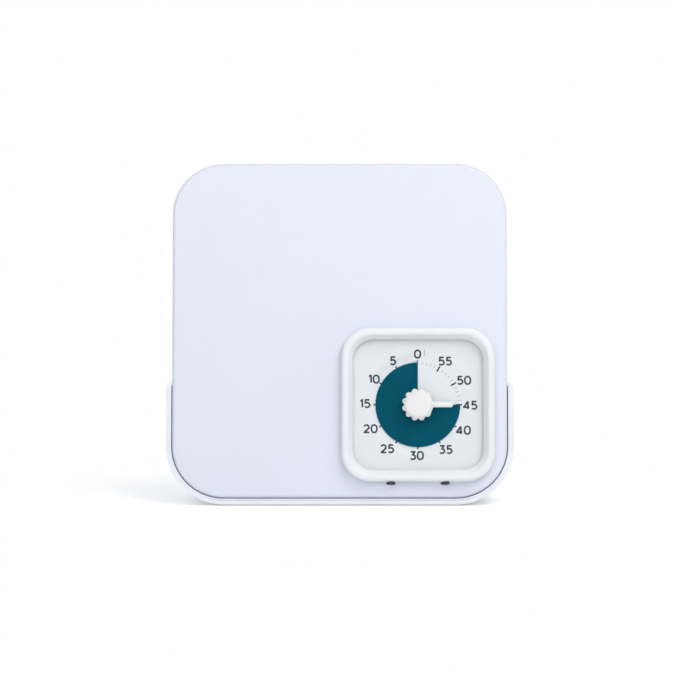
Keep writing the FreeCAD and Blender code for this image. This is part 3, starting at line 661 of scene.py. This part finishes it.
class BuildScrews(Operator):
    """Build the screws of the back cover and of the rear case"""
    bl_idname = "timer_board.screws"
    bl_label = "Screws"

    def execute(self, context):
        plated = steel("screw_steel", (0.56, 0.56, 0.57))
        cover, case = Form(), Form()
        cross_screws(cover, COVER_SCREWS, head=2.6, shank=1.3, top=9.0, depth=1.4, tip=3.2)
        cover.build("cover_screw_set", plated, "board", "screw_steel", place=BOARD,
                    replaces=["cover_screws"])
        cross_screws(case, CASE_SCREWS, head=2.7, shank=1.3, top=34.5, depth=1.5, tip=7.0)
        case.build("case_screw_set", plated, "timer", "screw_steel", replaces=["case_screws"])
        return {"FINISHED"}


# The dial sheet and the film are ramps with one lead: a full turn climbs this many millimetres
LEAD = 1.2
# Depth of the ramps' middle, and of the sheet's face outside them
PLANE = 1.2
FLAT = 0.2
# Thickness of each
SHEET = 0.3
FILM = 0.15
INK = 0.03
# Radii between which the slit closes, with the degrees beside it that bend for that, and radii
# between which the ramp runs out to the flat
SLIT_CLOSES, SLIT_END = 24.9, 25.8
SLIT_BLEND = 14
RAMP_END, FLAT_START = 25.0, 31.5
# How far out, both ways, the corners of the dial's rounded square have their centres
CORNER_CENTRE = 27.8


def smooth_step(value, low, high):
    t = max(0.0, min(1.0, (value - low) / (high - low)))
    return t * t * (3 - 2 * t)


def sheet_depth(radius, angle):
    """Depth of the dial sheet's face; angle runs anticlockwise from twelve o'clock."""
    middle = PLANE - SHEET / 2 - FLAT
    drop = middle - LEAD * (angle / 360 - 0.5)
    near = 1 - smooth_step(min(angle, 360 - angle), 0, SLIT_BLEND)
    drop += (middle - drop) * near * smooth_step(radius, SLIT_CLOSES, SLIT_END)
    return FLAT + drop * (1 - smooth_step(radius, RAMP_END, FLAT_START))


def polar(radius, angle, y):
    turn = radians(angle)
    return -radius * sin(turn), y, radius * cos(turn)


def on_sheet(x, z, lift):
    """Point that lies lift millimetres in front of the dial sheet."""
    angle = degrees(atan2(-x, z)) % 360
    return x, sheet_depth(hypot(x, z), angle) - lift, z


# Width of a long tick, radii and width of a minute one, and where the long one at 0 starts
LONG_TICK_WIDTH = 0.9
MINUTE_TICK = (23.2, 25.0, 0.38)
ZERO_TICK_INSIDE = 24.7
# Faint short line beside the 0
START_MARK = [(3.9, 32.0), (3.9, 30.1), (3.9, 28.2)]
# How far ticks and strokes stand off the sheet, and how much further a digit's second stroke,
# a round joint and the next band of a stroke do
TICK_LIFT = 0.04
INK_LIFT = 0.05
LAYER_LIFT = 0.03
JOINT_LIFT = 0.02
BAND_LIFT = 0.005
# Turn of a line, in degrees, that takes a round joint, and the sides of that joint
SHARP_TURN = 40
JOINT_SIDES = 16


def mark_tick(form, angle, inside, outside, width):
    """A tick that lies on the dial sheet, however the sheet is bent under it."""
    steps = 6
    rows = []
    for i in range(steps + 1):
        radius = inside + (outside - inside) * i / steps
        row = []
        for side in (-1, 1):
            lean = side * degrees(width / 2 / radius)
            # Both sides of the tick at 0 lie on the same edge of the slit
            own = max(0.0, min(360.0, angle + lean))
            row.append(polar(radius, angle + lean, sheet_depth(radius, own) - TICK_LIFT))
        rows.append(row)
    form.skin(rows, closed=False)


def short_runs(line, step=0.6):
    """The same line with a point at least every step millimetres."""
    points = [line[0]]
    for start, end in zip(line, line[1:]):
        pieces = max(1, ceil((end - start).length / step))
        points += [start.lerp(end, (i + 1) / pieces) for i in range(pieces)]
    return points


def stroke(form, line, width, closed=False, lift=INK_LIFT):
    """Band of ink along a line of (x, z) points, with round joints at its sharp corners."""
    line = [Vector(point) for point in line]
    corners = [] if closed else [
        i for i in range(1, len(line) - 1)
        if (line[i] - line[i - 1]).angle(line[i + 1] - line[i]) > radians(SHARP_TURN)]
    for i in corners:
        x, z = line[i]
        hub = form.ring([on_sheet(x, z, lift + JOINT_LIFT)])[0]
        rim = form.ring([on_sheet(a, b, lift + JOINT_LIFT)
                         for a, _, b in circle((x, 0, z), width / 2, "xz", JOINT_SIDES)])
        form.faces += [(hub, rim[k], rim[(k + 1) % JOINT_SIDES]) for k in range(JOINT_SIDES)]
    ends = [0] + corners + [len(line) - 1]
    for part, (first, last) in enumerate(zip(ends, ends[1:])):
        # Bands that cross lie at slightly different heights
        band(form, line if closed else short_runs(line[first:last + 1]), width, closed,
             lift + BAND_LIFT * part)


def band(form, line, width, closed, lift):
    """Ribbon of even width along a smooth line, laid on the dial sheet."""
    count = len(line)
    left, right = [], []
    for i, point in enumerate(line):
        before = line[i - 1] if (closed or i > 0) else point
        after = line[(i + 1) % count] if (closed or i < count - 1) else point
        along = (after - before).normalized()
        aside = Vector((-along.y, along.x)) * width / 2
        left.append(on_sheet(*(point + aside), lift))
        right.append(on_sheet(*(point - aside), lift))
    form.skin([left, right], closed=closed)


def bow(x, z, wide, tall, start, end, steps=14, power=2.0):
    """Points on an oval about (x, z) from angle start to end, in degrees."""
    points = []
    for i in range(steps + 1):
        turn = radians(start + (end - start) * i / steps)
        c, s = cos(turn), sin(turn)
        points.append((x + wide * copysign(abs(c) ** (2 / power), c),
                       z + tall * copysign(abs(s) ** (2 / power), s)))
    return points


# Digits as centre lines: width, then strokes; each is 1 high
DIGITS = {
    "0": (0.74, [bow(0.37, 0.5, 0.37, 0.5, 0, 351, 39, 2.3)]),
    "1": (0.30, [[(0.0, 0.84), (0.28, 1.0), (0.28, 0.0)]]),
    "2": (0.66, [bow(0.32, 0.69, 0.31, 0.31, 165, -30) + [(0.02, 0.0), (0.68, 0.0)]]),
    "3": (0.66, [[(0.04, 1.0), (0.60, 1.0), (0.30, 0.60)]
                 + bow(0.31, 0.30, 0.35, 0.30, 88, -140)]),
    "4": (0.76, [[(0.56, 1.0), (0.0, 0.24), (0.76, 0.24)], [(0.56, 1.04), (0.56, 0.0)]]),
    "5": (0.66, [[(0.62, 1.0), (0.12, 1.0), (0.08, 0.55)]
                 + bow(0.31, 0.31, 0.35, 0.31, 118, -142)]),
}
# Space between two digits, in heights of a digit
DIGIT_GAP = 0.30
# Middle of each number on the dial, in millimetres from the knob
NUMBER_PLACES = {
    0: (-0.1, 29.5), 5: (-14.4, 25.6), 10: (-25.5, 14.9), 15: (-30.7, 0.7), 20: (-27.5, -13.9),
    25: (-17.8, -25.5), 30: (-0.7, -29.5), 35: (16.1, -26.0), 40: (26.4, -14.8),
    45: (30.4, -0.3), 50: (26.9, 14.2), 55: (15.9, 25.35),
}


def write_number(form, text, x, z, height, weight):
    """Number centred on (x, z), drawn with strokes of one weight."""
    tall = height - weight
    total = sum(DIGITS[digit][0] for digit in text) + DIGIT_GAP * (len(text) - 1)
    start = x - total * tall / 2
    for digit in text:
        wide, lines = DIGITS[digit]
        for layer, line in enumerate(lines):
            points = [(start + px * tall, z - tall / 2 + pz * tall) for px, pz in line]
            stroke(form, points, weight, digit == "0", INK_LIFT + LAYER_LIFT * layer)
        start += (wide + DIGIT_GAP) * tall


def square_point(angle, half, depth):
    """Where a ray from the centre meets a rounded square, half wide either way."""
    x, _, z = polar(1.0, angle, 0)
    reach = half / max(abs(x), abs(z))
    if min(abs(x), abs(z)) * reach > CORNER_CENTRE:
        along = CORNER_CENTRE * (abs(x) + abs(z))
        reach = along + sqrt(along ** 2 - 2 * CORNER_CENTRE ** 2 + (half - CORNER_CENTRE) ** 2)
    return x * reach, depth, z * reach


def print_dial(look):
    long_ticks, minute_ticks, numbers, mark = Form(), Form(), Form(), Form()
    for minute in range(60):
        if minute % 5:
            mark_tick(minute_ticks, minute * 6, *MINUTE_TICK)
        else:
            inside = look.tick_inside / MM if minute else ZERO_TICK_INSIDE
            mark_tick(long_ticks, minute * 6, inside, look.tick_outside / MM, LONG_TICK_WIDTH)
    for minute, (x, z) in NUMBER_PLACES.items():
        write_number(numbers, str(minute), x, z, look.number_height / MM, look.stroke / MM)
    stroke(mark, START_MARK, width=0.5)
    dark = ink("dial_ink", look.ink)
    faint = ink("faint_ink", look.faint)
    for form, name, material in ((long_ticks, "five_minute_ticks", dark),
                                 (minute_ticks, "minute_ticks", faint),
                                 (numbers, "dial_numbers", dark),
                                 (mark, "faint_start_mark", faint)):
        made = form.build(name, material, "timer", "dial_print", open_sheet=True)
        thicken(made, INK, 0)


class BuildDial(Operator):
    """Build the dial sheet with its slit, and its numbers and ticks"""
    bl_idname = "timer_board.dial"
    bl_label = "Dial"

    def execute(self, context):
        look = context.scene.dial_look
        turns = range(0, 361, 2)
        # The rings lie closest where the slit closes and where the ramp runs out
        radii = [5.0, 9.0, 13.0, 17.0, 21.0, 23.5, 24.9, 25.1, 25.3, 25.5, 25.8]
        radii += [26.2 + 0.5 * i for i in range(13)]
        sheet = Form()
        rings = sheet.skin([[polar(r, a, sheet_depth(r, a)) for a in turns] for r in radii],
                           closed=False)
        # From the last round ring the sheet runs flat to a rounded square with a raised rim
        rim = arc_steps((38.2, FLAT), (39.7, -0.85), 4, (39.7, FLAT)) + [(40.1, -1.0)]
        square = [[square_point(angle, half, depth) for angle in turns] for half, depth in rim]
        sheet.skin([rings[-1], *square], closed=False)
        made = sheet.build("dial_sheet", printed_paper("dial_card", look.paper), "timer",
                           "dial_print", crease=60, replaces=["dial_plate"], open_sheet=True)
        thicken(made, SHEET, -1)
        print_dial(look)
        return {"FINISHED"}


# Where the film's ends lie at rest, in degrees, a little over a full turn apart
FILM_START, FILM_END = -94, 270


class BuildFilm(Operator):
    """Build the coloured film disc that winds through the dial's slit"""
    bl_idname = "timer_board.film"
    bl_label = "Film disc"

    def execute(self, context):
        teal = tinted_film("teal_film", context.scene.dial_look.film)
        turns = range(FILM_START, FILM_END + 1, 2)
        film = Form()
        film.skin([[polar(r, a, PLANE - FILM / 2 - LEAD * a / 360) for a in turns]
                   for r in (4.75, 9.0, 14.0, 19.0, 22.5, 24.2, 24.6)], closed=False)
        made = film.build("film_disc", teal, "disc", "teal_film", replaces=["countdown_disc"],
                          open_sheet=True)
        thicken(made, FILM, -1)
        return {"FINISHED"}


# The knob's round body, and its ten lobes, in degrees from the pointer
KNOB_RADIUS = 8.05
LOBE_ANGLES = range(45, 345, 30)
LOBE_CENTRE = 7.6
LOBE_RADIUS = 1.8
# The cone in front has this radius at this depth, and this slope
CONE_RADIUS = 7.15
CONE_DEPTH = -7.45
CONE_SLOPE = 2.6 / 2.2
# Outlines as (x, z): the flank that carries the pointer, and the pointer
FLANK = [(0.0, -6.65), (6.4, -6.65), (6.85, -6.3), (8.5, -2.2), (8.9, -1.6),
         (8.9, 1.6), (8.5, 2.2), (6.85, 6.3), (6.4, 6.65), (0.0, 6.65)]
FLANK_SET_BACK = 0.12
POINTER = [(6.0, -1.6), (19.15, -1.6), (19.5, -1.45), (20.0, -0.95), (20.15, -0.65),
           (20.15, 1.0), (20.0, 1.4), (19.6, 1.6), (6.0, 1.6)]


def knob_reach(angle):
    """Radius of the lobed knob's side; angle is anticlockwise from the pointer."""
    reach = KNOB_RADIUS
    for lobe in LOBE_ANGLES:
        along = LOBE_CENTRE * cos(radians(angle - lobe))
        inside = LOBE_RADIUS ** 2 - LOBE_CENTRE ** 2 + along ** 2
        if inside > 0 and along > 0:
            reach = max(reach, along + sqrt(inside))
    return reach


def flat_arm(form, outline, back=0.0):
    """Flat arm with soft front edges, from an outline of (x, z) points, set back a little."""
    middle = sum(x for x, _ in outline) / len(outline)
    rings = []
    for inset, y in ((0.0, -2.6), (0.0, -4.3), (0.06, -4.55), (0.2, -4.72), (0.42, -4.8)):
        rings.append([(x - copysign(min(inset, abs(x - middle)), x - middle), y + back,
                       z - copysign(min(inset, abs(z)), z)) for x, z in outline])
    form.skin(rings, caps=BOTH_ENDS)


class BuildKnob(Operator):
    """Build the lobed knob and its pointer"""
    bl_idname = "timer_board.knob"
    bl_label = "Knob"

    def execute(self, context):
        plastic = moulded("knob_plastic", context.scene.timer_look.knob, roughness=0.34,
                          grain=0.0004, depth=0.000008)
        sides = [(radians(i * 1.5), knob_reach(i * 1.5)) for i in range(240)]

        def level(y, widest=inf, inset=0.0):
            return [(min(reach - inset, widest) * cos(turn), y,
                     min(reach - inset, widest) * sin(turn)) for turn, reach in sides]

        # The lobes stand straight and then fall back in a cone to the round face
        rings = [level(-2.6, inset=0.25), level(-2.85), level(-4.0), level(-5.0)]
        rings += [level(y, CONE_RADIUS + (y - CONE_DEPTH) * CONE_SLOPE)
                  for y in (-5.3, -5.6, -6.0, -6.4, -6.8, -7.2)]
        rings += [level(-7.42, 7.12), level(-7.55, 6.9), level(-7.6, 6.6), level(-7.6, 4.0),
                  level(-7.6, 0.5)]
        knob = Form()
        knob.skin(rings, caps=[-1])
        knob.skin([circle((0, y, 0), 3.4) for y in (-2.7, -2.4, -0.6, -0.5)], caps=[-1])
        flat_arm(knob, FLANK, FLANK_SET_BACK)
        flat_arm(knob, POINTER)
        knob.build("lobed_knob", plastic, "knob", "knob_white", crease=28, replaces=["knob"])
        return {"FINISHED"}


CONTACT_METAL = (0.68, 0.68, 0.66)


class BuildMovement(Operator):
    """Build the two moulded halves of the movement, and finish the disc's hub and arbor"""
    bl_idname = "timer_board.movement"
    bl_label = "Movement"

    def execute(self, context):
        natural = moulded("natural_plastic", tint(222, 220, 210), roughness=0.5)
        softened("movement_front", "movement_plate", natural, "timer", edge=0.4)
        softened("movement_rear", "movement_cover", natural, "timer", edge=0.5)
        dress("disc_hub", natural)
        dress("knob_arbor", steel("arbor_steel", CONTACT_METAL))
        return {"FINISHED"}


BLACK = tint(40, 41, 44)


class BuildBuzzer(Operator):
    """Build the buzzer and the switch's body"""
    bl_idname = "timer_board.buzzer"
    bl_label = "Buzzer and switch"

    def execute(self, context):
        black = moulded("black_plastic", BLACK, roughness=0.45)
        softened("buzzer", "buzzer_can", black, "timer", edge=0.4)
        softened("switch_body", "switch_housing", black, "timer", edge=0.2)
        return {"FINISHED"}


# Depth and height of the battery's axis, which runs along x
CELL_AXIS = (25.6, -18.0)
# Profiles of the cell as radius and x: the sleeve, the flat minus end and the raised plus end
CELL_SLEEVE = [(5.6, -22.36), (6.6, -22.38), (7.0, -22.2), (7.22, -21.7), (7.25, -20.0),
               (7.25, 25.2), (7.2, 25.9), (6.9, 26.45), (6.3, 26.6)]
CELL_MINUS = [(0.2, -22.15), (4.8, -22.15), (5.1, -22.35), (5.9, -22.38), (6.5, -22.1)]
CELL_PLUS = [(6.6, 26.3), (6.2, 26.62), (5.4, 26.75), (4.6, 26.5), (3.4, 26.5), (2.95, 26.7),
             (2.7, 27.2), (2.65, 27.8), (2.4, 28.03), (0.2, 28.05)]
# The coil's wire, and the coil itself, which narrows from its plate to the cell's flat end
WIRE_RADIUS = 0.32
WIRE_SIDES = 8
COIL_TURNS = 4.5
COIL_STEPS = 200
COIL_START, COIL_LENGTH = -27.8, 5.1
COIL_RADIUS, COIL_NARROWING = 4.3, 1.2


def make_cell(bright):
    """One cell: a plain sleeve shrunk over a steel can, with a raised plus end."""
    sleeve, ends = Form(), Form()
    for form, profile in ((sleeve, CELL_SLEEVE), (ends, CELL_MINUS), (ends, CELL_PLUS)):
        form.skin([circle((x, *CELL_AXIS), radius, "yz") for radius, x in profile])
    sleeve.build("cell_sleeve", cell_wrap("cell_wrap"), "timer", "cell_case",
                 replaces=["battery_cell"])
    ends.build("cell_ends", bright, "timer", "contact_steel", replaces=["battery_cell"])


def make_coil_contact(bright):
    """Contact plate with the conical coil that presses on the cell's flat end."""
    y, z = CELL_AXIS
    plate = ((5.3, -28.5), (5.5, -28.45), (5.5, -28.15), (5.3, -28.1))
    form = Form()
    form.skin([[(x, y + deep, z + tall) for deep, _, tall in rounded(half, 1.2, 0, 5)]
               for half, x in plate], caps=BOTH_ENDS)
    sides = [tau * k / WIRE_SIDES for k in range(WIRE_SIDES)]
    coil = []
    for i in range(COIL_STEPS + 1):
        share = i / COIL_STEPS
        # The first and last turns lie closer, as on a real compression spring
        climb = share + 0.05 * sin(tau * share - pi)
        radius = COIL_RADIUS - COIL_NARROWING * share
        turn = tau * COIL_TURNS * share
        out = Vector((0, cos(turn), sin(turn)))
        middle = Vector((COIL_START + COIL_LENGTH * climb, *CELL_AXIS)) + radius * out
        coil.append([tuple(middle + WIRE_RADIUS * (cos(a) * out + sin(a) * RIGHT)) for a in sides])
    form.skin(coil, caps=BOTH_ENDS)
    form.build("coil_contact", bright, "timer", "contact_steel", crease=60,
               replaces=["spring_contact"])


class BuildBattery(Operator):
    """Build the battery and the coil contact at its flat end, and finish the plate contact"""
    bl_idname = "timer_board.battery"
    bl_label = "Battery"

    def execute(self, context):
        bright = steel("contact_steel", CONTACT_METAL)
        dress("plate_contact", bright)
        make_cell(bright)
        make_coil_contact(bright)
        return {"FINISHED"}


# Depth of the circuit board's rear face, and the (x, z) places of what stands on it
CIRCUIT_FACE = 28.62
CHIP_MIDDLE = (-2.6, 29.0)
FIRST_PIN, PIN_PITCH = -4.5, 1.27
RESISTORS = ((-6.8, 21.2), (-3.6, 21.2), (-0.4, 21.2), (22.4, 31.5), (22.4, 28.2))
CAN_MIDDLE = (24.0, 22.6)


def make_chip(bodies, metal):
    """Chip that stands on two rows of four bent pins."""
    x, z = CHIP_MIDDLE
    soft_block(bodies, (x, CIRCUIT_FACE + 0.15, z), (5.0, 1.45, 3.9), soft=0.25)
    for pin in range(4):
        for side in (-1, 1):
            path = [(FIRST_PIN + pin * PIN_PITCH, CIRCUIT_FACE + height, z + side * out)
                    for height, out in ((0.75, 1.9), (0.75, 2.3), (0.12, 2.6), (0.12, 3.1))]
            strip(metal, path, wide=0.42, thick=0.16)


class BuildCircuit(Operator):
    """Finish the circuit board and build its components"""
    bl_idname = "timer_board.circuit"
    bl_label = "Circuit"

    def execute(self, context):
        dress("circuit_board", laminate("circuit_laminate", tint(28, 92, 50)))
        bodies, metal = Form(), Form()
        make_chip(bodies, metal)
        for x, z in RESISTORS:
            soft_block(bodies, (x, CIRCUIT_FACE, z), (1.1, 0.55, 1.2), soft=0.06)
            for end in (-0.78, 0.78):
                soft_block(metal, (x + end, CIRCUIT_FACE, z), (0.5, 0.6, 1.3), soft=0.1)
        # Radius and height over the board, from the top of the can capacitor to its foot
        can = [(0.2, 3.35), (1.75, 3.35), (1.98, 3.15), (2.0, 1.3), (1.85, 1.1), (2.0, 0.9),
               (2.0, 0.02)]
        x, z = CAN_MIDDLE
        metal.skin([circle((x, CIRCUIT_FACE + height, z), radius, "xz", 36)
                    for radius, height in can])
        black = moulded("chip_plastic", BLACK, roughness=0.45)
        bodies.build("circuit_chips", black, "timer", "black_plastic")
        metal.build("circuit_pins", steel("pin_steel", CONTACT_METAL), "timer", "contact_steel")
        return {"FINISHED"}


WHITE = (1, 1, 1, 1)
# In metres: half the floor's width, how far from the middle the camera sees it turn white, and
# the x and y of the point that the camera looks at
FLOOR_REACH = 4
WHITE_FROM, WHITE_TO = 0.12, 0.23
LOOK_AT = (-0.001, -0.02)
FLOOR_GLOW = 0.34


def make_floor(look):
    """Pale floor whose colour seen by the camera runs into the white surround."""
    mesh = bpy.data.meshes.new("floor")
    mesh.from_pydata([(x, y, 0) for y in (-FLOOR_REACH, FLOOR_REACH)
                      for x in (-FLOOR_REACH, FLOOR_REACH)], [], [(0, 1, 3, 2)])
    f = Finish("floor_sweep")
    tone = f.toned(f.noise(0.4), look.floor, 0.99, 1)
    plain = f.node("ShaderNodeBsdfDiffuse", {}, {"Color": tone})
    seen = f.rays("Camera", "Glossy", "Transmission")
    glow = f.node("ShaderNodeEmission", {}, {"Color": WHITE, "Strength": seen * FLOOR_GLOW})
    near = f.node("ShaderNodeAddShader", {}, {0: plain, 1: glow})
    # Away from the object the floor is as white to the eye as the surround
    away = f.node("ShaderNodeVectorMath", {"operation": "LENGTH"}, {0: f.place()}, "Value")
    white = f.node("ShaderNodeEmission", {}, {"Color": WHITE, "Strength": 1.0})
    mesh.materials.append(f.close(f.node("ShaderNodeMixShader", {}, {
        0: f.clamp(away, WHITE_FROM, WHITE_TO) * seen, 1: near, 2: white})))
    add("floor", mesh)


def make_surround(look):
    """White to the camera, and a plain soft light of the sky's strength to everything else."""
    f = Finish("surround", "worlds")
    strength = f.clamp(f.rays("Camera", "Transmission"), 0, 1, look.sky, 1)
    sky = f.node("ShaderNodeBackground", {}, {"Color": WHITE, "Strength": strength})
    return f.close(sky, "ShaderNodeOutputWorld")


def add_lamp(name, place, target, size, watts):
    data = bpy.data.lights.new(name, "AREA")
    data.shape = "SQUARE"
    data.size = size
    data.energy = watts
    lamp = add(name, data)
    lamp.location = place
    lamp.rotation_euler = (Vector(target) - Vector(place)).to_track_quat("-Z", "Y").to_euler()


def add_camera(look):
    data = bpy.data.cameras.new("camera")
    data.lens = look.lens
    data.sensor_width = 36
    data.clip_start = 0.01
    camera = add("camera", data)
    back = Vector((0, -cos(look.elevation), sin(look.elevation)))
    camera.location = Vector((*LOOK_AT, look.height)) + back * look.distance
    camera.rotation_euler = (pi / 2 - look.elevation, 0, 0)
    return camera


class BuildStage(Operator):
    """Set the floor, the white surround, the soft lights and the camera"""
    bl_idname = "timer_board.stage"
    bl_label = "Stage"

    def execute(self, context):
        scene = context.scene
        look = scene.stage_look
        scene.view_settings.view_transform = "Standard"
        make_floor(look)
        scene.world = make_surround(look)
        add_lamp("top_light", (0.7, -0.8, 1.3), (0, 0, 0.08), 0.9, look.key)
        add_lamp("front_light", (-0.2, -1.9, 0.5), (0, 0, 0.1), 2.4, look.front)
        add_lamp("back_light", (-0.5, 1.7, 0.9), (0, 0, 0.1), 1.8, look.back)
        scene.camera = add_camera(look)
        return {"FINISHED"}


BUILDERS = (BuildBoard, BuildStand, BuildBezel, BuildCase, BuildFeet, BuildScrews, BuildDial,
            BuildFilm, BuildKnob, BuildMovement, BuildBuzzer, BuildBattery, BuildCircuit,
            BuildStage)
LOOKS = {"board_look": BoardLook, "timer_look": TimerLook, "dial_look": DialLook,
         "stage_look": StageLook}


class TimerPanel(Panel):
    """Lists the looks and the steps that build the timer board"""
    bl_idname = "VIEW3D_PT_timer_board"
    bl_label = "Countdown timer board"
    bl_space_type = "VIEW_3D"
    bl_region_type = "UI"
    bl_category = "Timer"

    def draw(self, context):
        for word, kind in LOOKS.items():
            box = self.layout.box()
            look = getattr(context.scene, word)
            for name in kind.__annotations__:
                box.prop(look, name)
        for builder in BUILDERS:
            self.layout.operator(builder.bl_idname)


CLASSES = (*LOOKS.values(), *BUILDERS, TimerPanel)


def register():
    for kind in CLASSES:
        bpy.utils.register_class(kind)
    for word, kind in LOOKS.items():
        setattr(bpy.types.Scene, word, PointerProperty(type=kind))


def unregister():
    for word in LOOKS:
        delattr(bpy.types.Scene, word)
    for kind in reversed(CLASSES):
        bpy.utils.unregister_class(kind)


def main():
    register()
    for builder in BUILDERS:
        group, name = builder.bl_idname.split(".")
        getattr(getattr(bpy.ops, group), name)()


if __name__ == "__main__":
    main()
